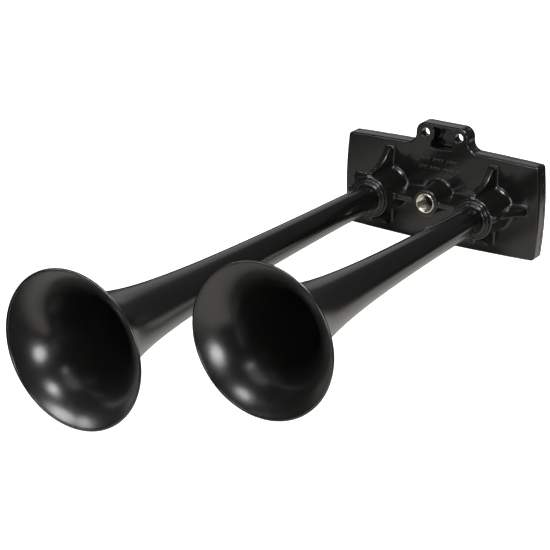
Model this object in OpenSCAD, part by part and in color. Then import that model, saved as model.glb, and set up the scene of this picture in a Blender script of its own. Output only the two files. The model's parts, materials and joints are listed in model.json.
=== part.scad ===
// Dual-trumpet air horn: two flared trumpets on one moulded manifold that is held by a tab.
// The origin is the middle of the tab's two bolt holes, on the flat rear face.
// +Z is up, and the trumpets point along -Y.

/* [Manifold] */
// Width of the manifold at its corners
plate_w = 162.4; // [158:0.1:170]
// Height of the manifold at its corners
plate_h = 73.4; // [71:0.1:76]
// Thickness of the two halves together
plate_t = 12; // [12:0.5:14]
// Thickness of the rear half
cover_t = 4; // [4:0.1:4.5]
// How far the end walls bulge out
end_bulge = 2.2; // [0:0.1:3]
// How far the top and bottom walls bulge out
side_bulge = 1.7; // [0:0.1:3]
// Radius of the manifold's corners
corner_r = 2.5; // [1:0.1:4]

/* [Tab] */
// Half the width of the mounting tab
tab_half_w = 22.4; // [21.5:0.1:24]
// Height of the tab's top above the manifold's middle
tab_top = 55.3; // [54.5:0.1:58]
// Distance between the two bolt holes
hole_spacing = 28.6; // [28:0.1:29]
// Height of the bolt holes above the manifold's middle
hole_z = 47.5; // [47:0.1:48]
// Radius of the bolt holes
hole_r = 3.6; // [3:0.05:3.7]

/* [Sockets] */
// Distance between the axes of the two trumpets
trumpet_spacing = 88.8; // [88:0.1:92]
// How far the trumpet axes lie under the manifold's middle
axis_drop = 1.3; // [0:0.1:2]
// How far the sockets stand out of the front face
socket_h = 31.2; // [30:0.1:34]
// Radius of a socket at its mouth
socket_r = 16.2; // [16:0.1:16.8]
// How far the inlet boss stands out of the front face
boss_h = 22.7; // [21:0.1:24]
// Radius of the inlet boss at its end
boss_r = 10.45; // [10:0.05:11]

/* [Trumpets] */
// Distance from the front face to the mouth of the long trumpet
long_len = 389; // [360:1:410]
// Distance from the front face to the mouth of the short trumpet
short_len = 310.6; // [290:0.1:330]
// Radius of both bells at the mouth
bell_r = 53.4; // [50:0.1:56]
// Thickness of a bell's wall at the mouth
bell_wall = 1.8; // [1.6:0.1:2.2]

/* [Diaphragms] */
// Radius of a diaphragm
disc_r = 21.5; // [21:0.1:22]
// Thickness of a diaphragm
disc_t = 0.3; // [0.2:0.05:0.3]

/* [Hidden] */
$fn = 96;

eps = 0.01;
gap = 0.05;
long_x = -trumpet_spacing / 2;
short_x = trumpet_spacing / 2;
front_t = plate_t - cover_t;

// Depths, measured back from the front face: negative values lie in front of it
mouth_y = -socket_h;
collar_depth = 3;
trumpet_end_y = -16;
shoulder_y = -13.5;
chamber_y = 1.8;
ledge_y = 3.9;
seat_y = 4.8;
clamp_y = 6.2;
duct_y = -5.2;
inlet_floor_y = -2.6;
seal_t = ledge_y + 0.9;

// Radii about a trumpet's axis
socket_base_r = socket_r + 0.4;
spigot_r = 10.2;
bore_r = spigot_r + gap;
shoulder_r = 9.2;
collar_r = 14.6;
throat_r = 5.9;
lip_r = bell_wall / 2 + 0.2;
long_flare = [18.2, 0.7065, 4.2];
short_flare = [18.7, 0.73, 3.2];
nozzle_r = 6.6;
nozzle_tip_r = 4.2;
chamber_r = 18;
ledge_r = disc_r + 0.5;
seal_in_r = 18.4;
clamp_screw_r = 25;
clamp_r = 27.5;
weather_in_r = 28.6;
weather_out_r = 30.2;

// Ribs round a socket, and the web between the sockets
rib_reach = 29;
top_rib_reach = 31.7;
rib_tip = socket_r + 3.2;
rib_foot_t = 5;
rib_toe = 4;
rib_head_t = 4.2;
rib_h = socket_h - 0.4;
rib_sweep = 2.6;
outer_rib_up = 2.7;
web_h = 21.6;
web_foot_t = 7;
web_head_t = 4.2;

// Inlet
insert_r = 7.6;
inlet_thread_r = 6.1;
insert_len = 15;
inlet_bore_r = 4.5;
duct_r = 2.2;

// Room for the bolt heads' washers in the rear half
bolt_room_r = 6.4;

// Screws
clamp_screw_n = 4;
clamp_pilot_r = 1.1;
cover_pilot_r = 1.4;
cover_head_r = 2.9;
cover_head_t = 1.8;
cover_screw_x = 73.4;
cover_screw_z = 29.2;
cover_screw_at = [
  for (x = [-cover_screw_x, 0, cover_screw_x], z = [-cover_screw_z, cover_screw_z]) [x, z]
];

// Points on an arc, from angle a to angle b, in steps parts
function arc(cx, cy, r, a, b, steps) = [
  for (i = [0 : steps]) [cx + r * cos(a + (b - a) * i / steps), cy + r * sin(a + (b - a) * i / steps)]
];

// Height of a shallow bulge along one side, t from -1 to 1
function bulge(t) = 1 - t * t;

// One quarter of the manifold's outline, from its end to its top
function quarter(steps) =
  let (hw = plate_w / 2 - corner_r, hh = plate_h / 2 - corner_r)
  concat(
    [for (i = [0 : steps])
      let (z = hh * i / steps)
      [plate_w / 2 + end_bulge * bulge(z / (plate_h / 2)), z]],
    arc(hw, hh, corner_r, 12, 78, 4),
    [for (i = [steps : -1 : 0])
      let (x = hw * i / steps)
      [x, plate_h / 2 + side_bulge * bulge(x / (plate_w / 2))]]
  );

// Radius of a trumpet's outside at distance d behind its lip. A flare shape holds how soon it
// narrows, how steeply it does, and the radius that it narrows towards.
function flare(d, shape) = shape[2] + (bell_r - shape[2]) * pow(shape[0] / (shape[0] + d), shape[1]);

// Moves a shape from the middle of the front face to the origin at the tab's bolts
module on_manifold() {
  translate([0, -plate_t, -hole_z]) children();
}

// Turns a shape drawn about +Z so that its +Z points back, on the trumpet axis at x
module on_axis(x) {
  on_manifold() translate([x, 0, -axis_drop]) rotate([-90, 0, 0]) children();
}

// A straight slice of a flat outline, from depth a to depth b
module slab(a, b) {
  translate([0, b, 0]) rotate([90, 0, 0]) linear_extrude(b - a) children();
}

// A tube about +Z, from height a to height b
module tube(r_out, r_in, a, b) {
  difference() {
    translate([0, 0, a]) cylinder(r = r_out, h = b - a);
    translate([0, 0, a - 1]) cylinder(r = r_in, h = b - a + 2);
  }
}

// A plug about +Z, from height a to height b
module plug(r, a, b) {
  translate([0, 0, a]) cylinder(r = r, h = b - a);
}

module plate_outline() {
  side = quarter(8);
  polygon(concat(
    side,
    [for (i = [len(side) - 2 : -1 : 0]) [-side[i][0], side[i][1]]],
    [for (i = [1 : len(side) - 1]) [-side[i][0], -side[i][1]]],
    [for (i = [len(side) - 2 : -1 : 1]) [side[i][0], -side[i][1]]]
  ));
}

module tab_outline() {
  top_r = 8;
  foot_r = 7;
  foot_z = plate_h / 2 + side_bulge - 0.5;
  right = concat(
    [[0, 0], [tab_half_w + foot_r, 0]],
    arc(tab_half_w + foot_r, foot_z + foot_r, foot_r, 270, 180, 8),
    arc(tab_half_w - top_r, tab_top - top_r, top_r, 0, 90, 8)
  );
  polygon(concat(right, [for (i = [len(right) - 1 : -1 : 1]) [-right[i][0], right[i][1]]]));
}

module outline() {
  plate_outline();
  tab_outline();
}

// The pocket between the bolt holes: it narrows where the walls round the holes bulge in
module pocket_outline() {
  neck = 6.2;
  half_w = 9;
  bottom = 36.4;
  top = 52.5;
  wall_r = hole_spacing / 2 - neck;
  turn = acos((hole_spacing / 2 - half_w) / wall_r);
  right = concat(
    [[neck, top]],
    arc(hole_spacing / 2, hole_z, wall_r, 180, 180 + turn, 6),
    [[half_w, bottom]]
  );
  polygon(concat(right, [for (i = [len(right) - 1 : -1 : 0]) [-right[i][0], right[i][1]]]));
}

module bolt_holes(r) {
  for (side = [-1, 1])
    on_manifold() translate([side * hole_spacing / 2, plate_t + 1, hole_z])
      rotate([90, 0, 0]) cylinder(r = r, h = plate_t + 2);
}

// A drafted round boss with a small fillet at its foot
module boss_solid(r_top, r_foot, h) {
  fillet = 1.6;
  rotate_extrude()
    polygon(concat(
      [[0, -1], [r_foot + fillet, -1]],
      arc(r_foot + fillet, fillet, fillet, 270, 180, 4),
      [[r_top, h], [0, h]]
    ));
}

// The side view of a rib, from the socket's middle out to its foot: above its toe it sweeps in
module rib_outline(reach) {
  steps = 10;
  polygon(concat(
    [[0, -1], [reach, -1]],
    [for (i = [0 : steps])
      let (t = i / steps)
      [rib_tip + (reach - rib_tip) * pow(1 - t, rib_sweep), rib_toe + (rib_h - rib_toe) * t]],
    [[0, rib_h]]
  ));
}

// A long bar along +X, from foot_t wide at height 0 to head_t wide at height h
module drafted_bar(length, foot_t, head_t, h) {
  rotate([90, 0, 90]) linear_extrude(length)
    polygon([[-foot_t / 2, -1], [foot_t / 2, -1], [foot_t / 2, 0], [head_t / 2, h], [-head_t / 2, h],
             [-foot_t / 2, 0]]);
}

// A rib that narrows as it rises and ends in a small round head beside the socket's mouth
module rib(reach) {
  head_r = rib_head_t / 2 + 0.15;
  intersection() {
    translate([0, rib_foot_t, 0]) rotate([90, 0, 0]) linear_extrude(2 * rib_foot_t) rib_outline(reach);
    drafted_bar(reach + 1, rib_foot_t, rib_head_t, rib_h + 0.5);
  }
  translate([rib_tip - head_r, 0, 0]) cylinder(r = head_r, h = rib_h);
}

// A socket with its ribs, drawn about +Z with its mouth at the top, and its outer rib at +X
module socket_solid() {
  boss_solid(socket_r, socket_base_r, socket_h);
  translate([0, outer_rib_up, 0]) rib(rib_reach);
  rotate([0, 0, 90]) rib(top_rib_reach);
  rotate([0, 0, 270]) rib(rib_reach);
}

// The web that holds the air duct, between the inlet boss and the sockets
module web() {
  translate([long_x, 0, 0]) rotate([90, 0, 0]) drafted_bar(trumpet_spacing, web_foot_t, web_head_t, web_h);
}

module front_body() {
  on_manifold() {
    slab(0, front_t) outline();
    web();
    rotate([90, 0, 0]) boss_solid(boss_r, boss_r + 1.5, boss_h);
    translate([short_x, 0, -axis_drop]) rotate([90, 0, 0]) socket_solid();
    translate([long_x, 0, -axis_drop]) rotate([90, 0, 0]) mirror([1, 0, 0]) socket_solid();
  }
}

// Everything that is bored into the front half for one trumpet
module socket_bores(x) {
  on_axis(x) {
    plug(collar_r + gap, mouth_y - 1, mouth_y + collar_depth);
    plug(bore_r, mouth_y, shoulder_y);
    plug(shoulder_r, shoulder_y - eps, chamber_y + eps);
    plug(chamber_r, chamber_y, front_t + 1);
    plug(ledge_r, ledge_y, front_t + 1);
    plug(clamp_r + 0.2, clamp_y, front_t + 1);
    clamp_holes(clamp_pilot_r, 2, clamp_y + 1);
  }
}

module clamp_holes(r, a, b) {
  for (i = [0 : clamp_screw_n - 1])
    rotate([0, 0, 45 + 360 * i / clamp_screw_n]) translate([clamp_screw_r, 0, 0]) plug(r, a, b);
}

module cover_holes(r, a, b) {
  for (p = cover_screw_at)
    on_manifold() translate([p[0], 0, p[1]]) rotate([-90, 0, 0]) plug(r, a, b);
}

module front_housing() {
  color("#1c1c1e")
  difference() {
    front_body();
    on_manifold() slab(-1, front_t + 1) pocket_outline();
    bolt_holes(hole_r);
    socket_bores(long_x);
    socket_bores(short_x);
    cover_holes(cover_pilot_r, 2.4, front_t + 1);
    on_manifold() rotate([-90, 0, 0]) {
      plug(insert_r + gap, -boss_h - 1, insert_len - boss_h);
      plug(inlet_bore_r, -boss_h, inlet_floor_y);
    }
    on_manifold() translate([long_x, duct_y, 0]) rotate([0, 90, 0]) cylinder(r = duct_r, h = trumpet_spacing);
  }
}

module rear_cover() {
  pocket_floor = plate_t - 2.5;
  back_room = front_t + 1.6;
  color("#1c1c1e")
  difference() {
    on_manifold() slab(front_t, plate_t) outline();
    on_manifold() slab(front_t - 1, pocket_floor) pocket_outline();
    bolt_holes(bolt_room_r);
    cover_holes(cover_pilot_r + 0.3, front_t - 1, plate_t + 1);
    cover_holes(cover_head_r + 0.2, plate_t - cover_head_t, plate_t + 1);
    for (x = [long_x, short_x])
      on_axis(x) {
        plug(clamp_r + 0.3, front_t - 1, back_room);
        tube(weather_out_r + gap, weather_in_r - gap, front_t - 1, front_t + 1);
      }
  }
}

module inlet_insert() {
  proud = 0.3;
  color("#b9b39a")
  on_manifold() rotate([-90, 0, 0])
    tube(insert_r, inlet_thread_r, -boss_h - proud, insert_len - boss_h);
}

// A trumpet's profile: its outside from the spigot to the lip, then its inside back again.
// The wall thickens towards the throat.
module trumpet(x, length, shape) {
  steps = 30;
  start_y = mouth_y - 6;
  groove = [trumpet_end_y - 6, trumpet_end_y - 3.6];
  groove_r = 8.9;
  out_reach = length + start_y - lip_r;
  in_reach = length + trumpet_end_y - lip_r;
  throat_wall = flare(in_reach, shape) - throat_r;
  outside = [for (i = [0 : steps])
    let (d = out_reach * pow(1 - i / steps, 2))
    [flare(d, shape), d + lip_r - length]];
  inside = [for (i = [0 : steps])
    let (
      d = in_reach * pow(i / steps, 2),
      wall = bell_wall + (throat_wall - bell_wall) * pow(d / in_reach, 2)
    )
    [flare(d, shape) - wall, d + lip_r - length]];
  lip = arc(bell_r - bell_wall / 2, lip_r - length, lip_r, 0, -180, 8);
  color("#111113")
  on_axis(x) rotate_extrude()
    polygon(concat(
      [[throat_r, trumpet_end_y - gap], [spigot_r, trumpet_end_y - gap], [spigot_r, groove[1]],
       [groove_r, groove[1]], [groove_r, groove[0]], [spigot_r, groove[0]], [spigot_r, start_y + 2]],
      outside,
      [for (i = [1 : len(lip) - 2]) lip[i]],
      [for (i = [0 : len(inside) - 2]) inside[i]]
    ));
}

module trumpet_long() {
  trumpet(long_x, long_len, long_flare);
}

module trumpet_short() {
  trumpet(short_x, short_len, short_flare);
}

// The ring that closes a socket's mouth: a rounded shoulder, then a sweep in to the trumpet
module collar(x) {
  proud = 1.4;
  foot_y = mouth_y + collar_depth - gap;
  round_r = 1.2;
  sweep_r = 1.6;
  in_r = bore_r + gap;
  color("#151517")
  on_axis(x) rotate_extrude()
    polygon(concat(
      [[in_r, foot_y], [collar_r, foot_y]],
      arc(collar_r - round_r, mouth_y - proud + round_r, round_r, 0, -90, 4),
      arc(in_r + 0.5 + sweep_r, mouth_y - proud - sweep_r, sweep_r, 90, 180, 4),
      [[in_r, mouth_y - proud - sweep_r]]
    ));
}

module trumpet_collar_long() {
  collar(long_x);
}

module trumpet_collar_short() {
  collar(short_x);
}

module oring(x) {
  section_r = 0.6;
  color("#0c0c0c")
  on_axis(x) translate([0, 0, trumpet_end_y - 4.8])
    rotate_extrude() translate([bore_r - section_r - 0.03, 0]) circle(r = section_r, $fn = 24);
}

module trumpet_oring_long() {
  oring(long_x);
}

module trumpet_oring_short() {
  oring(short_x);
}

// A throat tube: its flange stands on the socket's shoulder, and its tip is the diaphragm's seat
module nozzle(x) {
  color("#d8d6cc")
  on_axis(x) rotate_extrude()
    polygon([
      [throat_r, trumpet_end_y], [spigot_r, trumpet_end_y], [spigot_r, shoulder_y - gap],
      [nozzle_r, shoulder_y - gap], [nozzle_r, seat_y - 1], [nozzle_tip_r + 1, seat_y],
      [nozzle_tip_r, seat_y]
    ]);
}

module throat_nozzle_long() {
  nozzle(long_x);
}

module throat_nozzle_short() {
  nozzle(short_x);
}

module diaphragm(x) {
  color("#b8babd")
  on_axis(x) plug(disc_r, seal_t + gap, seal_t + gap + disc_t);
}

module diaphragm_long() {
  diaphragm(long_x);
}

module diaphragm_short() {
  diaphragm(short_x);
}

module front_seal(x) {
  color("#0c0c0c")
  on_axis(x) tube(disc_r, seal_in_r, ledge_y, seal_t);
}

module front_seal_long() {
  front_seal(long_x);
}

module front_seal_short() {
  front_seal(short_x);
}

module rear_seal(x) {
  color("#0c0c0c")
  on_axis(x) tube(disc_r, seal_in_r, seal_t + disc_t + 2 * gap, clamp_y - gap);
}

module rear_seal_long() {
  rear_seal(long_x);
}

module rear_seal_short() {
  rear_seal(short_x);
}

module clamp_ring(x) {
  color("#8e9094")
  difference() {
    on_axis(x) tube(clamp_r, seal_in_r + 0.4, clamp_y, front_t);
    on_axis(x) clamp_holes(clamp_pilot_r + 0.25, clamp_y - 1, front_t + 1);
  }
}

module clamp_ring_long() {
  clamp_ring(long_x);
}

module clamp_ring_short() {
  clamp_ring(short_x);
}

// A pan-head screw with a cross recess, its head's underside at height under and its head above it
module screw(shank_r, head_r, head_t, tip, under) {
  slot_w = head_r * 0.3;
  slot_l = head_r * 1.2;
  difference() {
    union() {
      plug(shank_r, tip, under + eps);
      plug(head_r, under, under + head_t);
    }
    for (turn = [0, 90])
      rotate([0, 0, turn])
        translate([-slot_l / 2, -slot_w / 2, under + head_t * 0.4]) cube([slot_l, slot_w, head_t]);
  }
}

module clamp_screws(x) {
  head_r = 2.2;
  head_t = 1.3;
  color("#a9abad")
  on_axis(x)
    for (i = [0 : clamp_screw_n - 1])
      rotate([0, 0, 45 + 360 * i / clamp_screw_n]) translate([clamp_screw_r, 0, 0])
        screw(clamp_pilot_r - gap, head_r, head_t, 2.4, front_t + gap);
}

module clamp_screws_long() {
  clamp_screws(long_x);
}

module clamp_screws_short() {
  clamp_screws(short_x);
}

module cover_seal(x) {
  color("#0c0c0c")
  on_axis(x) tube(weather_out_r, weather_in_r, front_t + gap, front_t + 1 - gap);
}

module cover_seal_long() {
  cover_seal(long_x);
}

module cover_seal_short() {
  cover_seal(short_x);
}

module cover_screws() {
  color("#a9abad")
  for (p = cover_screw_at)
    on_manifold() translate([p[0], 0, p[1]]) rotate([-90, 0, 0])
      screw(cover_pilot_r - gap, cover_head_r, cover_head_t - 0.4, 3, plate_t - cover_head_t + gap);
}

front_housing();
rear_cover();
inlet_insert();
trumpet_long();
trumpet_short();
trumpet_collar_long();
trumpet_collar_short();
trumpet_oring_long();
trumpet_oring_short();
throat_nozzle_long();
throat_nozzle_short();
diaphragm_long();
diaphragm_short();
front_seal_long();
front_seal_short();
rear_seal_long();
rear_seal_short();
clamp_ring_long();
clamp_ring_short();
clamp_screws_long();
clamp_screws_short();
cover_seal_long();
cover_seal_short();
cover_screws();
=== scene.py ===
"""Looks of a black dual-trumpet air horn: cast and turned pieces built round the CAD frame.

Lengths are in millimetres up to the meshes, unless a comment says otherwise.
"""

import json
import math

import bmesh
import bpy
import numpy as np
from mathutils import Matrix, Vector


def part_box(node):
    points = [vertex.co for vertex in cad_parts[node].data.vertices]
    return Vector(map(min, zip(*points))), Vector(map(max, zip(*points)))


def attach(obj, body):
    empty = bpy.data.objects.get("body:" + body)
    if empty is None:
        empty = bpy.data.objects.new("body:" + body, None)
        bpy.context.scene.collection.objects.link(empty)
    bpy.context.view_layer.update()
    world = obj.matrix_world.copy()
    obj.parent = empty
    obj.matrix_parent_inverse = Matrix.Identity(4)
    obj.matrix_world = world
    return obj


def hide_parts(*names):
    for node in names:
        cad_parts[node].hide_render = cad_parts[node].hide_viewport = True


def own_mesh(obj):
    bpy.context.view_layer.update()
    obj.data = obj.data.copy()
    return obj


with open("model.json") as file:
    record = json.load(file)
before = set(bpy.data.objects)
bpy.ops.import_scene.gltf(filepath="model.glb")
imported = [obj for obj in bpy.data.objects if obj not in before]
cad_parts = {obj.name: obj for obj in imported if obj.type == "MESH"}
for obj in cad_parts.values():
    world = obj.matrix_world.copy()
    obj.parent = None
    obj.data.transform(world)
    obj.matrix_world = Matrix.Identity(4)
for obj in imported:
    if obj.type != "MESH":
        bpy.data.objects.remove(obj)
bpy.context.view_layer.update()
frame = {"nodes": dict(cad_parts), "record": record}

MM = 0.001
mounts = {m["name"]: m for m in frame["record"]["mounts"]}


def box_mm(node):
    """Lowest and highest corner of a CAD node, in millimetres."""
    low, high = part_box(node)
    return np.array(low) / MM, np.array(high) / MM


# Places read from the frame, in millimetres in the row frame
LONG_LOW, LONG_HIGH = box_mm("trumpet_long")
SHORT_LOW, SHORT_HIGH = box_mm("trumpet_short")
COVER_LOW, COVER_HIGH = box_mm("rear_cover")
HOUSING_LOW, HOUSING_HIGH = box_mm("front_housing")
INSERT_LOW, INSERT_HIGH = box_mm("inlet_insert")
LONG_X = (LONG_LOW[0] + LONG_HIGH[0]) / 2
SHORT_X = (SHORT_LOW[0] + SHORT_HIGH[0]) / 2
AXIS_Z = (LONG_LOW[2] + LONG_HIGH[2]) / 2
MIDDLE_Z = mounts["air_inlet"]["pos_m"][2] / MM
BELL_R = (LONG_HIGH[0] - LONG_LOW[0]) / 2

# The manifold's own frame has its origin in the middle of its front face: x right, y back, z up
PLATE_T = 12
COVER_T = COVER_HIGH[1] - COVER_LOW[1]
FRONT_T = PLATE_T - COVER_T
FRONT_Y = -PLATE_T
AXIS_X = SHORT_X
AXIS_DROP = MIDDLE_Z - AXIS_Z

# Outline of the manifold and its tab
PLATE_HALF_W = 81.2
END_BULGE = HOUSING_HIGH[0] - PLATE_HALF_W
PLATE_HALF_H = 36.7
SIDE_BULGE = MIDDLE_Z - HOUSING_LOW[2] - PLATE_HALF_H
PLATE_CORNER = 2.5
TAB_HALF_W = 22.4
TAB_TOP = HOUSING_HIGH[2] - MIDDLE_Z
TAB_CORNER = 8
TAB_FOOT = 7
FRONT_EDGE = 1.3
REAR_EDGE = 0.6
PARTING_EDGE = 0.3

# Bolt holes and the pocket between them
HOLE_X = mounts["tab_bolts"]["dims"]["spacing_x_mm"] / 2
HOLE_Z = -MIDDLE_Z
HOLE_R = mounts["tab_bolts"]["dims"]["hole_r_mm"]
HOLE_WALL_R = 8.1
HOLE_EDGE = 0.5
BOLT_ROOM_R = 6.4
POCKET_HALF_W = 9
POCKET_LOW = 36.4
POCKET_HIGH = 52.5
POCKET_FLOOR = 9.5
POCKET_STEP_Z = 41.5
POCKET_SLOT_FLOOR = 11
POCKET_CORNER = 1.0
POCKET_NECK_EDGE = 0.6
POCKET_EDGE = 0.6
POCKET_FILLET = 0.8

# Sockets, ribs, web and inlet boss
SOCKET_H = FRONT_Y - HOUSING_LOW[1]
SOCKET_R = 16.2
SOCKET_FOOT_R = 16.6
SOCKET_FILLET = 2.5
SOCKET_EDGE = 1.1
RIB_REACH = 29
TOP_RIB_REACH = 31.7
RIB_TIP = SOCKET_R + 3.2
RIB_H = SOCKET_H - 0.4
RIB_FOOT_T = 5.6
RIB_TOE = 5
RIB_HEAD_T = 4.2
RIB_SWEEP = 2.6
OUTER_RIB_UP = 2.7
RIB_HEAD_R = 2.35
RIB_HEAD_FILLET = 0.8
RIB_FILLET = 1.7
RIB_EDGE = 1.3
WEB_H = 21.6
WEB_FOOT_T = 7
WEB_HEAD_T = 4.2
WEB_EDGE = 0.9
BOSS_H = 22.7
BOSS_R = 10.45
BOSS_FOOT_R = 11.95
BOSS_FILLET = 1.3
BOSS_EDGE = 0.9

# Radii and depths along a trumpet's axis
GAP = 0.05
MOUTH_Y = -SOCKET_H
COLLAR_R = 14.6
COLLAR_DEPTH = 3
SPIGOT_R = 10.2
SHOULDER_Y = -13.5
TRUMPET_END_Y = -16
NOZZLE_HOLE_R = 9.2
CHAMBER_R = 18
CHAMBER_Y = 1.8
DISC_ROOM_R = 22
DISC_ROOM_Y = 3.9
CLAMP_ROOM_R = 27.7
CLAMP_ROOM_Y = 6.2
BORE_EDGE = 0.12

# Each bore is a radius and the depths between which it is cut, with some overshoot at open ends
PAST_END = 5
SOCKET_BORES = [
    (COLLAR_R + GAP, MOUTH_Y - PAST_END, MOUTH_Y + COLLAR_DEPTH),
    (SPIGOT_R + GAP, MOUTH_Y - PAST_END, SHOULDER_Y),
    (NOZZLE_HOLE_R, SHOULDER_Y - 1, CHAMBER_Y + 1),
    (CHAMBER_R, CHAMBER_Y, FRONT_T + PAST_END),
    (DISC_ROOM_R, DISC_ROOM_Y, FRONT_T + PAST_END),
    (CLAMP_ROOM_R, CLAMP_ROOM_Y, FRONT_T + PAST_END),
]

# Inlet, with its insert and the duct to both chambers
INSERT_R = (INSERT_HIGH[0] - INSERT_LOW[0]) / 2
INSERT_END_Y = INSERT_HIGH[1] - FRONT_Y
INSERT_HOLE_EDGE = 0.25
INLET_BORE_R = 4.5
INLET_FLOOR_Y = -2.6
DUCT_Y = -5.2
DUCT_R = 2.2

# The soft ring behind a diaphragm
DISC_SEAL_IN_R = 18.4
DISC_SEAL_EDGE = 0.15

# Rear cover
COVER_ROOM_R = 27.8
COVER_ROOM_FLOOR = FRONT_T + 1.6
COVER_ROOM_EDGE = 0.2
COVER_SEAL_IN_R = 28.55
COVER_SEAL_OUT_R = 30.25
COVER_SEAL_FLOOR = FRONT_T + 1
COVER_EDGE = 0.3

# Screws, and the holes for them
SCREW_X = 73.4
SCREW_Z = 29.2
SCREW_HEAD_R = 2.9
SCREW_HEAD_T = 1.4
SCREW_DOME_R = 6
SCREW_SINK = 1.8
SCREW_SINK_ROOM = 0.2
SCREW_SHANK_R = 1.35
SCREW_SHANK_ROOM = 0.3
SCREW_OVERLAP = 0.4
SCREW_EDGE = 0.4
SCREW_NECK_FILLET = 0.15
SCREW_TIP_Y = 3
SCREW_PILOT_R = 1.4
SCREW_PILOT_Y = 2.4
RECESS_REACH = 1.75
RECESS_REACH_DRAFT = 0.35
RECESS_HALF_T = 0.42
RECESS_HALF_T_DRAFT = 0.1
RECESS_DEPTH = 1.1
RECESS_FILLET = 0.2
RECESS_EDGE = 0.12
CLAMP_SCREW_R = 25
CLAMP_PILOT_R = 1.1
CLAMP_PILOT_Y = 2

# Mould marks on the front face
MARK_ROWS = (27.2, 20.4)
MARK_START = -17.5
MARK_PITCH = 2.3
MARK_COUNT = 15
MARK_W = 1.3
MARK_H = 3.2
MARK_GROUP = 5
MARK_PROUD = 0.8
MARK_SUNK = 0.3
MARK_EDGE = 0.12
MARK_LEAN = math.radians(25)
MARK_DRAFT = math.radians(20)

# Trumpets: each flare shape is how soon it narrows, how steeply, and the radius it narrows to
BELL_WALL = 1.8
LIP_R = BELL_WALL / 2 + 0.2
THROAT_R = 5.9
LONG_FLARE = (18.2, 0.7065, 4.2)
SHORT_FLARE = (18.7, 0.73, 3.2)
GROOVE_R = 8.9
GROOVE_NEAR = 3.6
GROOVE_FAR = 6
SPIGOT_PROUD = 6
SPIGOT_TAPER = 2

# Collars
COLLAR_PROUD = 1.4
COLLAR_EDGE = 1.2
COLLAR_LIP_W = 2.3
COLLAR_LIP_H = 1.8
COLLAR_SWEEP = 1.45
COLLAR_FINE_EDGE = 0.3

# The inlet's thread
THREAD_R = 6.1
THREAD_PITCH = 1.411
THREAD_DEPTH = 0.72
THREAD_START = 0.9
THREAD_END = 0.5
THREAD_FADE_IN = 1.0
THREAD_FADE_OUT = 1.2
THREAD_STEPS = 110
INSERT_MOUTH_W = 0.75

# Meshing
VOXEL = 0.75
SCREW_VOXEL = 0.2
GRID_BEFORE = 1.37
GRID_AFTER = 2.1
CAST_HALF_W = 84
CAST_LOW = -40
ROUND_SEGMENTS = 160

# Where the bells' hazier gloss starts and is full, in metres
TUBE_GLOSS_Y = -0.16
BELL_GLOSS_Y = -0.27

# The photograph's camera: angles in radians about the manifold, and metres
CAMERA_AZIMUTH = 0.5804
CAMERA_ELEVATION = 0.3689
CAMERA_ROLL = 0.0077
CAMERA_DISTANCE = 1.50024
CAMERA_RIGHT = -0.12520
CAMERA_UP = -0.06070
CAMERA_LENS = 129.0

# Stage, in metres and in radiance where white is 1
FLOOR_HALF_W = 6
FLOOR_GAP = 0.0005
FLOOR_GLOW = 1.3
TABLE_FRONT = -0.455
TABLE_FRONT_FADE = 0.02
TABLE_RIGHT = 0.155
TABLE_RIGHT_FADE = 0.015
TABLE_LEFT = -0.16
TABLE_LEFT_FADE = 0.06
TABLE_COLOUR = (0.82, 0.8, 0.74)
BEYOND_COLOUR = (0.05, 0.05, 0.05)
ROOM_GLOW = 0.1


# ---------------------------------------------------------------- distance fields
def hypot(a, b):
    return np.sqrt(a * a + b * b)


def meet(a, b, r=0.0):
    """Where both shapes are, with the edge between them rounded to radius r."""
    if r <= 0:
        return np.maximum(a, b)
    return np.minimum(np.maximum(a, b), -r) + hypot(np.maximum(a + r, 0), np.maximum(b + r, 0))


def join(a, b, r=0.0):
    """Where either shape is, with a fillet of radius r between them."""
    return -meet(-a, -b, r)


def cut(a, b, r=0.0):
    """The first shape without the second, with the new edge rounded to radius r."""
    return meet(a, -b, r)


def between(value, low, high):
    return np.maximum(low - value, value - high)


def rounded_corner(a, b, r):
    """A flat outline's distance from the distances to two sides that meet at a corner."""
    a = a + r
    b = b + r
    return np.minimum(np.maximum(a, b), 0) + hypot(np.maximum(a, 0), np.maximum(b, 0)) - r


def plate_outline(x, z):
    wide = PLATE_HALF_W + END_BULGE * np.maximum(1 - (z / PLATE_HALF_H) ** 2, 0)
    tall = PLATE_HALF_H + SIDE_BULGE * np.maximum(1 - (x / PLATE_HALF_W) ** 2, 0)
    return rounded_corner(np.abs(x) - wide, np.abs(z) - tall, PLATE_CORNER)


def manifold_outline(x, z):
    tab = meet(rounded_corner(np.abs(x) - TAB_HALF_W, z - TAB_TOP, TAB_CORNER), -z)
    return join(plate_outline(x, z), tab, TAB_FOOT)


def bolt_hole(x, z, r):
    return hypot(np.abs(x) - HOLE_X, z - HOLE_Z) - r


def pocket_outline(x, z):
    """The pocket between the bolt holes: the walls round the holes bulge into it."""
    middle = (POCKET_LOW + POCKET_HIGH) / 2
    half_h = (POCKET_HIGH - POCKET_LOW) / 2
    sides = rounded_corner(np.abs(x) - POCKET_HALF_W, np.abs(z - middle) - half_h, POCKET_CORNER)
    return meet(sides, -bolt_hole(x, z, HOLE_WALL_R), POCKET_NECK_EDGE)


def drafted_boss(rho, h, foot_r, top_r, height, edge):
    """A round boss that narrows a little as it rises."""
    wall = rho - (foot_r + (top_r - foot_r) * np.clip(h / height, 0, 1))
    return meet(wall, h - height, edge)


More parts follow.
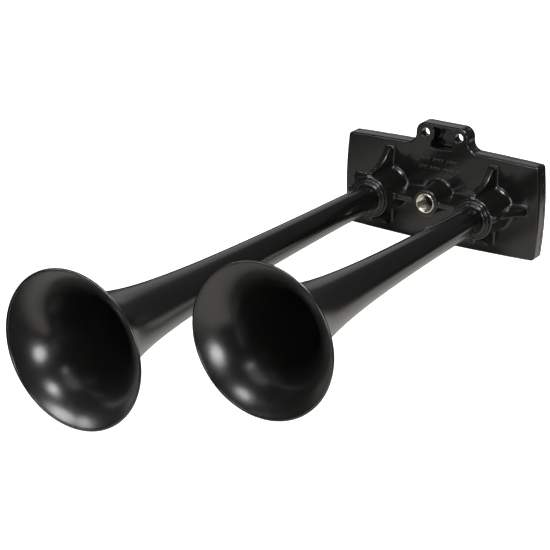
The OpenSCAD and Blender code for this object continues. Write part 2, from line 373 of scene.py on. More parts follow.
def rib(along, across, h, reach):
    """A rib that narrows and sweeps in as it rises, and ends in a round head.

    Its end is between round and square: the eighth-power norm of the two distances.
    """
    rise = np.clip(h / RIB_H, 0, 1)
    half = (RIB_FOOT_T + (RIB_HEAD_T - RIB_FOOT_T) * rise) / 2
    left = 1 - np.clip((h - RIB_TOE) / (RIB_H - RIB_TOE), 0, 1)
    sweep = (reach - RIB_TIP) * left ** RIB_SWEEP
    lean = (reach - RIB_TIP) * RIB_SWEEP * left ** (RIB_SWEEP - 1) / (RIB_H - RIB_TOE)
    lean = np.where(h > RIB_TOE, lean, 0)
    past = np.maximum(along - (RIB_TIP + sweep - half), 0)
    side = hypot(past ** 4, across ** 4) ** 0.25
    slope = lean * past / np.maximum(side, GAP)
    blade = np.maximum((side - half) / np.sqrt(1 + slope * slope), -along)
    head = hypot(along - (RIB_TIP - RIB_HEAD_R), across) - RIB_HEAD_R
    return meet(join(blade, head, RIB_HEAD_FILLET), h - RIB_H, RIB_EDGE)


def web(x, z, h):
    half = (WEB_FOOT_T + (WEB_HEAD_T - WEB_FOOT_T) * np.clip(h / WEB_H, 0, 1)) / 2
    return meet(meet(np.abs(z) - half, h - WEB_H, WEB_EDGE), x - AXIS_X)


def screw_holes(x, z, r):
    x = np.abs(x)
    z = np.abs(z) - SCREW_Z
    return np.minimum(hypot(x, z), hypot(x - SCREW_X, z)) - r


def housing_field(x, y, z):
    """The front half, with both sockets, their ribs, the web and the inlet boss."""
    x = np.abs(x)
    h = -y
    out = x - AXIS_X
    up = z + AXIS_DROP
    rho = hypot(out, up)
    body = meet(manifold_outline(x, z), -y, FRONT_EDGE)
    middle = hypot(x, z)
    sockets = drafted_boss(rho, h, SOCKET_FOOT_R, SOCKET_R, SOCKET_H, SOCKET_EDGE)
    body = join(body, sockets, SOCKET_FILLET)
    boss = drafted_boss(middle, h, BOSS_FOOT_R, BOSS_R, BOSS_H, BOSS_EDGE)
    body = join(body, boss, BOSS_FILLET)
    body = join(body, web(x, z, h), RIB_FILLET)
    body = join(body, rib(out, up - OUTER_RIB_UP, h, RIB_REACH), RIB_FILLET)
    body = join(body, rib(up, out, h, TOP_RIB_REACH), RIB_FILLET)
    body = join(body, rib(-up, out, h, RIB_REACH), RIB_FILLET)
    body = cut(body, pocket_outline(x, z), POCKET_EDGE)
    body = cut(body, bolt_hole(x, z, HOLE_R), HOLE_EDGE)
    body = meet(body, y - FRONT_T, PARTING_EDGE)
    for r, low, high in SOCKET_BORES:
        body = cut(body, np.maximum(rho - r, between(y, low, high)), BORE_EDGE)
    body = cut(body, np.maximum(middle - INSERT_R - GAP, y - INSERT_END_Y), INSERT_HOLE_EDGE)
    body = cut(body, np.maximum(middle - INLET_BORE_R, y - INLET_FLOOR_Y))
    body = cut(body, np.maximum(hypot(y - DUCT_Y, z) - DUCT_R, x - AXIS_X))
    body = cut(body, np.maximum(screw_holes(x, z, SCREW_PILOT_R), SCREW_PILOT_Y - y))
    corner = CLAMP_SCREW_R / math.sqrt(2)
    pilots = hypot(np.abs(out) - corner, np.abs(up) - corner) - CLAMP_PILOT_R
    return cut(body, np.maximum(pilots, CLAMP_PILOT_Y - y))


def cover_field(x, y, z):
    """The rear half: its outer rim is rounded, and its inner face holds the seal grooves."""
    x = np.abs(x)
    rho = hypot(x - AXIS_X, z + AXIS_DROP)
    body = meet(manifold_outline(x, z), y - PLATE_T, REAR_EDGE)
    body = meet(body, FRONT_T - y, PARTING_EDGE)
    pocket = pocket_outline(x, z)
    body = cut(body, meet(pocket, y - POCKET_FLOOR, POCKET_FILLET))
    slot = np.maximum(meet(pocket, y - POCKET_SLOT_FLOOR, POCKET_FILLET), z - POCKET_STEP_Z)
    body = cut(body, slot, COVER_EDGE)
    body = cut(body, bolt_hole(x, z, BOLT_ROOM_R), COVER_EDGE)
    room = np.maximum(rho - COVER_ROOM_R, y - COVER_ROOM_FLOOR)
    body = cut(body, room, COVER_ROOM_EDGE)
    groove = np.maximum(between(rho, COVER_SEAL_IN_R, COVER_SEAL_OUT_R), y - COVER_SEAL_FLOOR)
    body = cut(body, groove)
    body = cut(body, screw_holes(x, z, SCREW_PILOT_R + SCREW_SHANK_ROOM))
    sinks = screw_holes(x, z, SCREW_HEAD_R + SCREW_SINK_ROOM)
    return cut(body, np.maximum(sinks, PLATE_T - SCREW_SINK - y), COVER_EDGE)


def screw_field(x, y, z):
    """One pan-head screw about its own axis, with a tapered cross recess."""
    rho = hypot(x, z)
    under = PLATE_T - SCREW_SINK + GAP
    dome = hypot(rho, y - (under + SCREW_HEAD_T - SCREW_DOME_R)) - SCREW_DOME_R
    head = meet(np.maximum(rho - SCREW_HEAD_R, under - y), dome, SCREW_EDGE)
    shank = np.maximum(rho - SCREW_SHANK_R, y - under - SCREW_OVERLAP)
    shank = meet(shank, SCREW_TIP_Y - y, SCREW_EDGE)
    depth = under + SCREW_HEAD_T - y
    reach = RECESS_REACH - RECESS_REACH_DRAFT * depth
    half_t = RECESS_HALF_T - RECESS_HALF_T_DRAFT * depth
    one = np.maximum(np.abs(x) - reach, np.abs(z) - half_t)
    two = np.maximum(np.abs(z) - reach, np.abs(x) - half_t)
    recess = np.maximum(join(one, two, RECESS_FILLET), depth - RECESS_DEPTH)
    return cut(join(head, shank, SCREW_NECK_FILLET), recess, RECESS_EDGE)


# ---------------------------------------------------------------- meshes from fields
CORNERS = [(a, b, c) for a in (0, 1) for b in (0, 1) for c in (0, 1)]
EDGES = [
    (m, n)
    for m in range(8)
    for n in range(m + 1, 8)
    if sum(abs(p - q) for p, q in zip(CORNERS[m], CORNERS[n])) == 1
]


def cell_points(field, cells):
    """For each cell that the surface crosses, the mean of its edge crossings, in cell units."""
    values = [field[tuple(c + o for c, o in zip(cells, corner))] for corner in CORNERS]
    total = np.zeros((len(cells[0]), 3))
    count = np.zeros(len(cells[0]))
    for m, n in EDGES:
        a = values[m]
        b = values[n]
        hit = (a < 0) != (b < 0)
        t = np.where(hit, a / np.where(hit, a - b, 1), 0)
        start = np.array(CORNERS[m], float)
        step = np.array(CORNERS[n], float) - start
        total += hit[:, None] * (start + t[:, None] * step)
        count += hit
    return total / count[:, None]


def net_faces(inside, ids):
    """One quad round each grid edge that crosses the surface, facing outwards."""
    quads = []
    for axis in range(3):
        near = [slice(1, -1)] * 3
        far = [slice(1, -1)] * 3
        near[axis] = slice(None, -1)
        far[axis] = slice(1, None)
        a = inside[tuple(near)]
        places = np.nonzero(a != inside[tuple(far)])
        outward = a[places]
        base = [p + (0 if k == axis else 1) for k, p in enumerate(places)]
        one = (axis + 1) % 3
        two = (axis + 2) % 3
        ring = []
        for back_one, back_two in ((1, 1), (0, 1), (0, 0), (1, 0)):
            cell = list(base)
            cell[one] = cell[one] - back_one
            cell[two] = cell[two] - back_two
            ring.append(ids[tuple(cell)])
        quad = np.stack(ring, 1)
        quads.append(np.where(outward[:, None], quad, quad[:, ::-1]))
    return np.concatenate(quads)


def gradient(field, points, step=0.02):
    """A field's slope at each point, from differences."""
    columns = []
    for axis in range(3):
        shift = np.zeros(3)
        shift[axis] = step
        ahead = field(*(points + shift).T)
        behind = field(*(points - shift).T)
        columns.append((ahead - behind) / (2 * step))
    return np.stack(columns, 1)


def settle(field, points, voxel):
    """Moves points onto the surface, and gives the surface's normals there."""
    for _ in range(3):
        slope = gradient(field, points)
        size = np.maximum((slope * slope).sum(1), 0.2)
        move = np.clip(field(*points.T) / size, -voxel / 2, voxel / 2)
        points = points - slope * move[:, None]
    slope = gradient(field, points)
    return points, slope / np.maximum(np.linalg.norm(slope, axis=1), 1e-6)[:, None]


def net(field, low, high, voxel):
    """Vertices, quads and normals of a field's surface inside a box."""
    axes = [
        np.arange(a - GRID_BEFORE * voxel, b + GRID_AFTER * voxel, voxel)
        for a, b in zip(low, high)
    ]
    grid = np.meshgrid(*axes, indexing="ij", sparse=True)
    values = field(*grid)
    inside = values < 0
    count = sum(
        inside[tuple(slice(o, o + s - 1) for o, s in zip(corner, inside.shape))].astype(np.int8)
        for corner in CORNERS
    )
    cells = np.nonzero((count > 0) & (count < 8))
    ids = np.full(count.shape, -1, np.int32)
    ids[cells] = np.arange(len(cells[0]))
    start = np.stack([axis[c] for axis, c in zip(axes, cells)], 1)
    points = start + cell_points(values, cells) * voxel
    points, normals = settle(field, points, voxel)
    return points, net_faces(inside, ids), normals


def in_row_frame(points):
    """From the manifold's frame to the row frame, in metres."""
    return (np.asarray(points) + (0, FRONT_Y, MIDDLE_Z)) * MM


def new_piece(name, points, faces, material, replaced, body="horn"):
    """A smooth-shaded mesh piece that rides on a body and stands for CAD nodes."""
    mesh = bpy.data.meshes.new(name)
    mesh.from_pydata(np.asarray(points).tolist(), [], np.asarray(faces).tolist())
    mesh.materials.append(material)
    mesh.shade_smooth()
    piece = bpy.data.objects.new(name, mesh)
    bpy.context.scene.collection.objects.link(piece)
    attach(piece, body)
    if replaced:
        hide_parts(*replaced)
    return piece


def cast_piece(name, field, low, high, material):
    """A moulded piece from its field, with the field's own normals."""
    points, faces, normals = net(field, low, high, VOXEL)
    piece = new_piece(name, in_row_frame(points), faces, material, [name[: -len("_shell")]])
    piece.data.normals_split_custom_set_from_vertices(normals.tolist())
    return piece


# ---------------------------------------------------------------- turned meshes
def eased(corners, steps=5):
    """A closed outline from (radius, depth, corner radius) points, with its corners rounded."""
    outline = []
    count = len(corners)
    for i, (r, y, ease) in enumerate(corners):
        here = np.array((r, y), float)
        if ease == 0:
            outline.append(tuple(here))
            continue
        before = np.array(corners[i - 1][:2], float) - here
        after = np.array(corners[(i + 1) % count][:2], float) - here
        before = before / np.linalg.norm(before)
        after = after / np.linalg.norm(after)
        half = math.acos(float(np.clip(before @ after, -1, 1))) / 2
        reach = ease / math.tan(half)
        for k in range(steps + 1):
            t = k / steps
            point = here + before * reach * (1 - t) ** 2 + after * reach * t ** 2
            outline.append(tuple(point))
    return outline


def turned_mesh(outline, segments, radius_at=None):
    """Vertices and quads of a closed (radius, depth) outline turned about the depth axis."""
    r, y = np.array(outline, float).T
    angle = np.arange(segments) * 2 * math.pi / segments
    radius = np.repeat(r[:, None], segments, 1)
    if radius_at is not None:
        radius = radius_at(radius, y[:, None], angle[None, :])
    depth = np.repeat(y[:, None], segments, 1)
    points = np.stack([radius * np.cos(angle), depth, radius * np.sin(angle)], 2).reshape(-1, 3)
    ring = np.arange(len(outline))
    turn = np.arange(segments)
    a, b = np.meshgrid(ring, turn, indexing="ij")
    a2 = (a + 1) % len(outline)
    b2 = (b + 1) % segments
    quads = np.stack([a * segments + b, a * segments + b2, a2 * segments + b2, a2 * segments + b], 2)
    quads = quads.reshape(-1, 4)
    area = np.sum(r * np.roll(y, -1) - np.roll(r, -1) * y)
    return points, quads if area < 0 else quads[:, ::-1]


def turned_piece(name, outline, x, z, material, replaced, segments=ROUND_SEGMENTS,
                 radius_at=None, sharp=40):
    """A piece turned about an axis at x and z, with edges sharper than an angle kept crisp."""
    points, quads = turned_mesh(outline, segments, radius_at)
    points = in_row_frame(points + (x, 0, z))
    piece = new_piece(name, points, quads, material, replaced)
    piece.data.set_sharp_from_angle(angle=math.radians(sharp))
    return piece


def flare(d, shape):
    """A trumpet's outer radius at a distance from its mouth."""
    near, power, far = shape
    return far + (BELL_R - far) * (near / (near + d)) ** power


def trumpet_outline(mouth_y, shape, steps=72, lip_steps=12):
    """A trumpet's section: its outside from the spigot to the lip, then its inside back again."""
    length = -mouth_y
    start_y = MOUTH_Y - SPIGOT_PROUD
    spigot = [
        (THROAT_R, TRUMPET_END_Y - GAP),
        (SPIGOT_R, TRUMPET_END_Y - GAP),
        (SPIGOT_R, TRUMPET_END_Y - GROOVE_NEAR),
        (GROOVE_R, TRUMPET_END_Y - GROOVE_NEAR),
        (GROOVE_R, TRUMPET_END_Y - GROOVE_FAR),
        (SPIGOT_R, TRUMPET_END_Y - GROOVE_FAR),
        (SPIGOT_R, start_y + SPIGOT_TAPER),
    ]
    out_reach = length + start_y - LIP_R
    in_reach = length + TRUMPET_END_Y - LIP_R
    throat_wall = flare(in_reach, shape) - THROAT_R
    t = np.arange(steps + 1) / steps
    d_out = out_reach * (1 - t) ** 2
    d_in = in_reach * t ** 2
    wall = BELL_WALL + (throat_wall - BELL_WALL) * (d_in / in_reach) ** 2
    outside = list(zip(flare(d_out, shape), d_out + LIP_R - length))
    inside = list(zip(flare(d_in, shape) - wall, d_in + LIP_R - length))
    turn = np.radians(np.linspace(0, -180, lip_steps + 1)[1:-1])
    middle_r = BELL_R - BELL_WALL / 2
    lip = [(middle_r + LIP_R * math.cos(a), LIP_R - length + LIP_R * math.sin(a)) for a in turn]
    return spigot + outside + lip + inside[:-1]


def trumpet(side, x, mouth_y, shape):
    turned_piece(
        "trumpet_%s_turned" % side, trumpet_outline(mouth_y, shape), x, -AXIS_DROP,
        TRUMPET_PLASTIC, ["trumpet_%s" % side],
    )


def collar(side, x):
    """The ring in a socket's mouth: a rounded shoulder that sweeps in to the trumpet."""
    foot = MOUTH_Y + COLLAR_DEPTH - GAP
    face = MOUTH_Y - COLLAR_PROUD
    top = face - COLLAR_LIP_H
    in_r = SPIGOT_R + 2 * GAP
    outline = eased([
        (in_r, foot, 0),
        (COLLAR_R, foot, COLLAR_FINE_EDGE),
        (COLLAR_R, face, COLLAR_EDGE),
        (in_r + COLLAR_LIP_W, face, COLLAR_FINE_EDGE),
        (in_r + COLLAR_LIP_W - 0.1, top, COLLAR_SWEEP),
        (in_r, top, COLLAR_FINE_EDGE),
    ])
    turned_piece(
        "collar_%s_turned" % side, outline, x, -AXIS_DROP,
        HOUSING_PLASTIC, ["trumpet_collar_%s" % side], sharp=60,
    )


def rear_seal(side, x):
    """The soft ring behind a diaphragm, which in the horn gives way by the disc's travel; here it is
    a ring on a mesh of its own.
    """
    low, high = box_mm("rear_seal_%s" % side)
    front = low[1] - FRONT_Y
    back = high[1] - FRONT_Y
    disc_r = (high[0] - low[0]) / 2
    outline = eased([
        (DISC_SEAL_IN_R, back, DISC_SEAL_EDGE),
        (disc_r, back, DISC_SEAL_EDGE),
        (disc_r, front, DISC_SEAL_EDGE),
        (DISC_SEAL_IN_R, front, DISC_SEAL_EDGE),
    ])
    ring = turned_piece(
        "rear_seal_%s_turned" % side, outline, x, -AXIS_DROP,
        SEAL_RUBBER, ["rear_seal_%s" % side],
    )
    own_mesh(ring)


def insert():
    """The plated inlet insert, with a real V-thread cut into its bore."""
    low = INSERT_LOW[1] - FRONT_Y
    high = INSERT_END_Y
    start = low + THREAD_START
    span = high - low - THREAD_START - THREAD_END
    bore = [(THREAD_R, start + span * i / THREAD_STEPS) for i in range(THREAD_STEPS + 1)]
    shell = eased([
        (INSERT_R, high, 0.3),
        (INSERT_R, low, 0.5),
        (THREAD_R + INSERT_MOUTH_W, low, 0.15),
    ])

    def thread(radius, y, angle):
        """Sinks a V-groove into the bore along a helix, fading out at both ends."""
        phase = (y / THREAD_PITCH + angle / (2 * math.pi)) % 1
        groove = 1 - np.abs(2 * phase - 1)
        fade_in = np.clip((y - start) / THREAD_FADE_IN, 0, 1)
        fade_out = np.clip((high - THREAD_FADE_OUT - y) / THREAD_FADE_OUT, 0, 1)
        sunk = THREAD_DEPTH * np.clip(groove * 1.25 - 0.12, 0, 1) * fade_in * fade_out
        return radius + np.where(np.abs(radius - THREAD_R) < 1e-6, sunk, 0)

    turned_piece(
        "inlet_insert_threaded", shell + bore, 0, 0,
        PLATED_METAL, ["inlet_insert"],
        segments=120, radius_at=thread, sharp=35,
    )


def cover_screws():
    """Six pan-head screws as one piece, each turned a little differently, as screws end up."""
    half = SCREW_HEAD_R + 0.1
    low = (-half, SCREW_TIP_Y, -half)
    high = (half, PLATE_T, half)
    points, faces, _ = net(screw_field, low, high, SCREW_VOXEL)
    all_points = []
    all_faces = []
    places = [(x, z) for x in (-SCREW_X, 0, SCREW_X) for z in (-SCREW_Z, SCREW_Z)]
    for i, (x, z) in enumerate(places):
        turn = math.radians(17 + 53 * i)
        c = math.cos(turn)
        s = math.sin(turn)
        spun = points @ np.array([[c, 0, s], [0, 1, 0], [-s, 0, c]])
        all_points.append(spun + (x, 0, z))
        all_faces.append(faces + i * len(points))
    piece = new_piece(
        "cover_screw_set", in_row_frame(np.concatenate(all_points)), np.concatenate(all_faces),
        SCREW_STEEL, ["cover_screws"],
    )
    piece.data.set_sharp_from_angle(angle=math.radians(40))


def stroke(bm, x, z):
    """One raised stroke of the mould marks, with drafted sides and a buried foot."""
    draft = (MARK_PROUD + MARK_SUNK) * math.tan(MARK_DRAFT)
    verts = bmesh.ops.create_cube(bm, size=1)["verts"]
    for v in verts:
        front = v.co.y < 0
        narrower = 2 * draft if front else 0
        v.co.x *= MARK_W - narrower
        v.co.z *= MARK_H - narrower
        v.co.y = -MARK_PROUD if front else MARK_SUNK
    bmesh.ops.rotate(bm, matrix=Matrix.Rotation(MARK_LEAN, 3, "Y"), verts=verts)
    bmesh.ops.translate(bm, vec=(x, 0, z), verts=verts)


def mould_marks():
    """Two rows of small raised parallel strokes, in the place of the moulded text."""
    bm = bmesh.new()
    for row, z in enumerate(MARK_ROWS):
        for i in range(MARK_COUNT):
            if (i + row) % MARK_GROUP != MARK_GROUP - 1:
                stroke(bm, MARK_START + MARK_PITCH * i, z)
    bmesh.ops.bevel(
        bm, geom=bm.edges[:] + bm.verts[:],
        offset=MARK_EDGE, segments=2, profile=0.5, affect="EDGES",
    )
    points = in_row_frame([tuple(v.co) for v in bm.verts])
    faces = [[v.index for v in f.verts] for f in bm.faces]
    bm.free()
    piece = new_piece("mould_marks", points, faces, MARK_HIGHLIGHT_PLASTIC, [])
    piece.data.set_sharp_from_angle(angle=math.radians(50))


# ---------------------------------------------------------------- materials
def node_tree(name):
    """A new material, its node tree and its main shader."""
    material = bpy.data.materials.new(name)
    material.use_nodes = True
    tree = material.node_tree
    return material, tree, tree.nodes["Principled BSDF"]


def noise(tree, scale, detail=3.0, roughness=0.55, stretch=(1, 1, 1)):
    """A noise texture on the object's own coordinates; its scale is in features per metre."""
    place = tree.nodes.new("ShaderNodeTexCoord")
    mapping = tree.nodes.new("ShaderNodeMapping")
    mapping.inputs["Scale"].default_value = stretch
    texture = tree.nodes.new("ShaderNodeTexNoise")
    texture.inputs["Scale"].default_value = scale
    texture.inputs["Detail"].default_value = detail
    texture.inputs["Roughness"].default_value = roughness
    tree.links.new(place.outputs["Object"], mapping.inputs["Vector"])
    tree.links.new(mapping.outputs["Vector"], texture.inputs["Vector"])
    return texture.outputs["Fac"]


def ramp(tree, value, low, high, start=0.3, end=0.7):
    """Maps a noise value onto a range."""
    node = tree.nodes.new("ShaderNodeMapRange")
    node.inputs["From Min"].default_value = start
    node.inputs["From Max"].default_value = end
    node.inputs["To Min"].default_value = low
    node.inputs["To Max"].default_value = high
    tree.links.new(value, node.inputs["Value"])
    return node.outputs["Result"]


def blend_colours(tree, value, dark, light):
    node = tree.nodes.new("ShaderNodeMix")
    node.data_type = "RGBA"
    node.inputs["A"].default_value = (*dark, 1)
    node.inputs["B"].default_value = (*light, 1)
    tree.links.new(value, node.inputs["Factor"])
    return node.outputs["Result"]


def bump(tree, value, strength, distance, below=None):
    node = tree.nodes.new("ShaderNodeBump")
    node.inputs["Strength"].default_value = strength
    node.inputs["Distance"].default_value = distance
    tree.links.new(value, node.inputs["Height"])
    if below is not None:
        tree.links.new(below, node.inputs["Normal"])
    return node.outputs["Normal"]


def combine(tree, operation, one, two):
    node = tree.nodes.new("ShaderNodeMath")
    node.operation = operation
    tree.links.new(one, node.inputs[0])
    tree.links.new(two, node.inputs[1])
    return node.outputs["Value"]


def towards_bells(tree, most):
    """A value that grows from nothing on the tubes to its most on the bells."""
    place = tree.nodes.new("ShaderNodeTexCoord")
    split = tree.nodes.new("ShaderNodeSeparateXYZ")
    tree.links.new(place.outputs["Object"], split.inputs["Vector"])
    return ramp(tree, split.outputs["Y"], most, 0, BELL_GLOSS_Y, TUBE_GLOSS_Y)


def moulded_plastic(name, dark, light, smooth, rough, grain, peel, bell_haze=0.0):
    """Black moulding: a slow colour drift, uneven gloss, a soft peel and a fine grain."""
    material, tree, shader = node_tree(name)
    drift = ramp(tree, noise(tree, 45, 4), 0, 1)
    tree.links.new(blend_colours(tree, drift, dark, light), shader.inputs["Base Color"])
    gloss = ramp(tree, noise(tree, 170, 5, 0.65), smooth, rough)
    if bell_haze:
        gloss = combine(tree, "ADD", gloss, towards_bells(tree, bell_haze))
    tree.links.new(gloss, shader.inputs["Roughness"])
    soft = bump(tree, noise(tree, 190, 2), peel, 0.0003)
    fine = bump(tree, noise(tree, 2600, 2), grain, 0.00005, soft)
    tree.links.new(fine, shader.inputs["Normal"])
    shader.inputs["IOR"].default_value = 1.5
    return material


def rubber():
    material, tree, shader = node_tree("seal_rubber")
    drift = ramp(tree, noise(tree, 120, 4), 0, 1)
    colour = blend_colours(tree, drift, (0.012, 0.012, 0.012), (0.03, 0.03, 0.029))
    tree.links.new(colour, shader.inputs["Base Color"])
    tree.links.new(ramp(tree, noise(tree, 400, 3), 0.55, 0.8), shader.inputs["Roughness"])
    tree.links.new(bump(tree, noise(tree, 2200, 2), 0.25, 0.00008), shader.inputs["Normal"])
    return material


def metal(name, dark, light, smooth, rough, lay, turned=(1, 1, 1)):
    """A worked metal: tool marks stretched along one way, and an uneven shine."""
    material, tree, shader = node_tree(name)
    drift = ramp(tree, noise(tree, 260, 4, stretch=turned), 0, 1)
    tree.links.new(blend_colours(tree, drift, dark, light), shader.inputs["Base Color"])
    shine = ramp(tree, noise(tree, 600, 4, stretch=turned), smooth, rough)
    tree.links.new(shine, shader.inputs["Roughness"])
    marks = bump(tree, noise(tree, 1400, 3, stretch=turned), lay, 0.00005)
    tree.links.new(marks, shader.inputs["Normal"])
    shader.inputs["Metallic"].default_value = 1.0
    return material


def natural_plastic():
    material, tree, shader = node_tree("nozzle_plastic")
    drift = ramp(tree, noise(tree, 90, 4), 0, 1)
    colour = blend_colours(tree, drift, (0.62, 0.6, 0.53), (0.72, 0.7, 0.64))
    tree.links.new(colour, shader.inputs["Base Color"])
    tree.links.new(ramp(tree, noise(tree, 500, 3), 0.35, 0.5), shader.inputs["Roughness"])
    tree.links.new(bump(tree, noise(tree, 1800, 2), 0.15, 0.00005), shader.inputs["Normal"])
    return material


HOUSING_PLASTIC = moulded_plastic(
    "housing_plastic", (0.005, 0.005, 0.0046), (0.007, 0.007, 0.0065),
    smooth=0.14, rough=0.2, grain=0.04, peel=0.03,
)
# The mould marks are coloured lighter than the housing. This is a painted highlight that stands in
# for the bright specks where the raised strokes catch the light.
MARK_HIGHLIGHT_PLASTIC = moulded_plastic(
    "mark_painted_highlight_plastic", (0.02, 0.02, 0.019), (0.045, 0.045, 0.042),
    smooth=0.3, rough=0.42, grain=0.04, peel=0.03,
)
TRUMPET_PLASTIC = moulded_plastic(
    "trumpet_plastic", (0.0035, 0.0035, 0.0033), (0.005, 0.005, 0.0047),
    smooth=0.13, rough=0.18, grain=0.08, peel=0.03, bell_haze=0.09,
)
PLATED_METAL = metal(
    "insert_metal", (0.66, 0.63, 0.52), (0.80, 0.78, 0.68),
    smooth=0.16, rough=0.28, lay=0.10,
)
SEAL_RUBBER = rubber()
NOZZLE_PLASTIC = natural_plastic()
SPRING_STEEL = metal(
    "spring_steel", (0.52, 0.53, 0.54), (0.64, 0.65, 0.66),
    smooth=0.22, rough=0.34, lay=0.2, turned=(8, 1, 1),
)
CLAMP_ALUMINIUM = metal(
    "clamp_aluminium", (0.58, 0.59, 0.6), (0.7, 0.7, 0.71),
    smooth=0.28, rough=0.42, lay=0.25, turned=(1, 4, 1),
)
SCREW_STEEL = metal(
    "screw_steel", (0.5, 0.51, 0.52), (0.63, 0.63, 0.62),
    smooth=0.22, rough=0.38, lay=0.12,
)


def dress(node, material):
    """Gives a CAD node that stays its finished material."""
    slots = frame["nodes"][node].data.materials
    slots.clear()
    slots.append(material)


def dress_inner_nodes():
    for side in ("long", "short"):
        dress("trumpet_oring_%s" % side, SEAL_RUBBER)
        dress("front_seal_%s" % side, SEAL_RUBBER)
        dress("cover_seal_%s" % side, SEAL_RUBBER)
        dress("throat_nozzle_%s" % side, NOZZLE_PLASTIC)
        dress("diaphragm_%s" % side, SPRING_STEEL)
        dress("clamp_ring_%s" % side, CLAMP_ALUMINIUM)
        dress("clamp_screws_%s" % side, SCREW_STEEL)


# ---------------------------------------------------------------- stage
def add_camera():
    """A long lens at the photograph's angle about the manifold."""
    back = Vector((
        math.sin(CAMERA_AZIMUTH) * math.cos(CAMERA_ELEVATION),
        -math.cos(CAMERA_AZIMUTH) * math.cos(CAMERA_ELEVATION),
        math.sin(CAMERA_ELEVATION),
    ))
    level = Vector((math.cos(CAMERA_AZIMUTH), math.sin(CAMERA_AZIMUTH), 0))
    upright = back.cross(level)
    right = level * math.cos(CAMERA_ROLL) + upright * math.sin(CAMERA_ROLL)
    up = upright * math.cos(CAMERA_ROLL) - level * math.sin(CAMERA_ROLL)
    middle = Vector((0, FRONT_Y * MM, MIDDLE_Z * MM))
    data = bpy.data.cameras.new("camera")
    data.sensor_width = 36
    data.lens = CAMERA_LENS
    data.clip_start = 0.1
    data.clip_end = 30
    camera = bpy.data.objects.new("camera", data)
    place = Matrix((right, up, back)).transposed().to_4x4()
    place.translation = middle + back * CAMERA_DISTANCE + right * CAMERA_RIGHT + up * CAMERA_UP
    camera.matrix_world = place
    bpy.context.scene.collection.objects.link(camera)
    bpy.context.scene.camera = camera


def floor_plane():
    """A point and the normal of the plane under both bells and one corner of the manifold."""
    a = np.array([LONG_X, LONG_LOW[1], LONG_LOW[2]])
    b = np.array([SHORT_X, SHORT_LOW[1], SHORT_LOW[2]])
    c = np.array([-PLATE_HALF_W, 0, MIDDLE_Z - PLATE_HALF_H])
    normal = np.cross(c - a, b - a)
    normal = normal / np.linalg.norm(normal)
    if normal[2] < 0:
        normal = -normal
    return a * MM, normal


def glow(tree, seen, elsewhere):
    """Emission of one strength to the camera and of another to everything else."""
    path = tree.nodes.new("ShaderNodeLightPath")
    node = tree.nodes.new("ShaderNodeMix")
    node.inputs["A"].default_value = elsewhere
    node.inputs["B"].default_value = seen
    tree.links.new(path.outputs["Is Camera Ray"], node.inputs["Factor"])
    return node.outputs["Result"]


def table_extent(tree):
    """One on the tabletop, fading to nothing past its front, right and left edges."""
    place = tree.nodes.new("ShaderNodeTexCoord")
    split = tree.nodes.new("ShaderNodeSeparateXYZ")
    tree.links.new(place.outputs["Object"], split.inputs["Vector"])

    def edge(axis, near, far, at, fade):
        return ramp(tree, split.outputs[axis], near, far, at - fade, at + fade)

    front = edge("Y", 0, 1, TABLE_FRONT, TABLE_FRONT_FADE)
    right = edge("X", 1, 0, TABLE_RIGHT, TABLE_RIGHT_FADE)
    left = edge("X", 0, 1, TABLE_LEFT, TABLE_LEFT_FADE)
    return combine(tree, "MULTIPLY", combine(tree, "MULTIPLY", front, right), left)


def hide_from_below(tree, shader):
    """Lets the floor be seen through from its underside only."""
    side = tree.nodes.new("ShaderNodeNewGeometry")
    clear = tree.nodes.new("ShaderNodeBsdfTransparent")
    either = tree.nodes.new("ShaderNodeMixShader")
    tree.links.new(side.outputs["Backfacing"], either.inputs["Fac"])
    tree.links.new(shader.outputs["BSDF"], either.inputs[1])
    tree.links.new(clear.outputs["BSDF"], either.inputs[2])
    tree.links.new(either.outputs["Shader"], tree.nodes["Material Output"].inputs["Surface"])


def add_floor():
    """A pale tabletop: it is white to the camera, and the horn sees it end a little way in front."""
    point, normal = floor_plane()
    bm = bmesh.new()
    bmesh.ops.create_grid(bm, x_segments=12, y_segments=12, size=FLOOR_HALF_W)
    mesh = bpy.data.meshes.new("floor")
    bm.to_mesh(mesh)
    bm.free()
    material, tree, shader = node_tree("pale_floor")
    shader.inputs["Roughness"].default_value = 0.9
    shader.inputs["Specular IOR Level"].default_value = 0
    shader.inputs["Emission Color"].default_value = (1, 1, 1, 1)
    colour = blend_colours(tree, table_extent(tree), BEYOND_COLOUR, TABLE_COLOUR)
    tree.links.new(colour, shader.inputs["Base Color"])
    tree.links.new(glow(tree, FLOOR_GLOW, 0.0), shader.inputs["Emission Strength"])
    hide_from_below(tree, shader)
    mesh.materials.append(material)
    floor = bpy.data.objects.new("floor", mesh)
    turn = Vector((0, 0, 1)).rotation_difference(Vector(normal)).to_matrix().to_4x4()
    foot = Vector(normal) * float(normal @ point)
    floor.matrix_world = Matrix.Translation(foot - Vector(normal) * FLOOR_GAP) @ turn
    bpy.context.scene.collection.objects.link(floor)


def add_softbox(name, place, size, radiance, target):
    """A soft light of a given radiance that faces a target."""
    out = Vector(place) - Vector(target)
    data = bpy.data.lights.new(name, "AREA")
    data.shape = "ELLIPSE"
    data.size = size[0]
    data.size_y = size[1]
    data.energy = radiance * size[0] * size[1] * math.pi ** 2 / 4
    lamp = bpy.data.objects.new(name, data)
    lamp.location = place
    lamp.rotation_euler = out.to_track_quat("Z", "Y").to_euler()
    lamp.visible_camera = False
    bpy.context.scene.collection.objects.link(lamp)


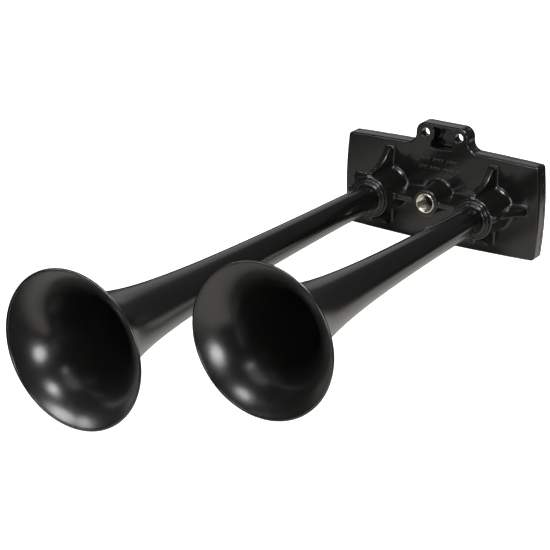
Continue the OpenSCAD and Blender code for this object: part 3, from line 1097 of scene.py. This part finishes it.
def add_world():
    """White to the camera, and a dim even room to everything else."""
    world = bpy.data.worlds.new("studio")
    world.use_nodes = True
    tree = world.node_tree
    back = tree.nodes["Background"]
    back.inputs["Color"].default_value = (1, 1, 1, 1)
    tree.links.new(glow(tree, 1.0, ROOM_GLOW), back.inputs["Strength"])
    bpy.context.scene.world = world
    bpy.context.scene.view_settings.view_transform = "Standard"


def add_lights():
    """Small lamps in front that the bells reflect, larger ones above, and a dim wall behind."""
    bells = (0, -0.36, -0.05)
    add_softbox("near_lamp", (-0.02, -0.66, 0.165), (0.085, 0.085), 25, bells)
    add_softbox("left_lamp", (-0.24, -0.821, 0.138), (0.2, 0.13), 17.5, bells)
    add_softbox("right_lamp", (0.22, -0.63, 0.0), (0.14, 0.12), 19, bells)
    add_softbox("edge_lamp", (-0.49, -0.82, 0.15), (0.1, 0.16), 17, bells)
    add_softbox("top_lamp", (0.47, -0.67, 0.9), (0.2, 0.2), 6, bells)
    add_softbox("high_lamp", (0.46, -0.2, 1.0), (0.34, 0.34), 40, bells)
    add_softbox("sky_lamp", (0.1, -0.35, 1.3), (1.4, 1.4), 1.4, bells)
    add_softbox("back_wall", (-0.75, 0.95, 0.43), (1.0, 0.8), 0.45, (0, 0, -0.05))


cast_piece(
    "front_housing_shell", housing_field,
    (-CAST_HALF_W, MOUTH_Y, CAST_LOW), (CAST_HALF_W, FRONT_T, TAB_TOP),
    HOUSING_PLASTIC,
)
cast_piece(
    "rear_cover_shell", cover_field,
    (-CAST_HALF_W, FRONT_T, CAST_LOW), (CAST_HALF_W, PLATE_T, TAB_TOP),
    HOUSING_PLASTIC,
)
trumpet("long", LONG_X, LONG_LOW[1] - FRONT_Y, LONG_FLARE)
trumpet("short", SHORT_X, SHORT_LOW[1] - FRONT_Y, SHORT_FLARE)
collar("long", LONG_X)
collar("short", SHORT_X)
rear_seal("long", LONG_X)
rear_seal("short", SHORT_X)
insert()
cover_screws()
mould_marks()
dress_inner_nodes()

add_camera()
add_floor()
add_world()
add_lights()
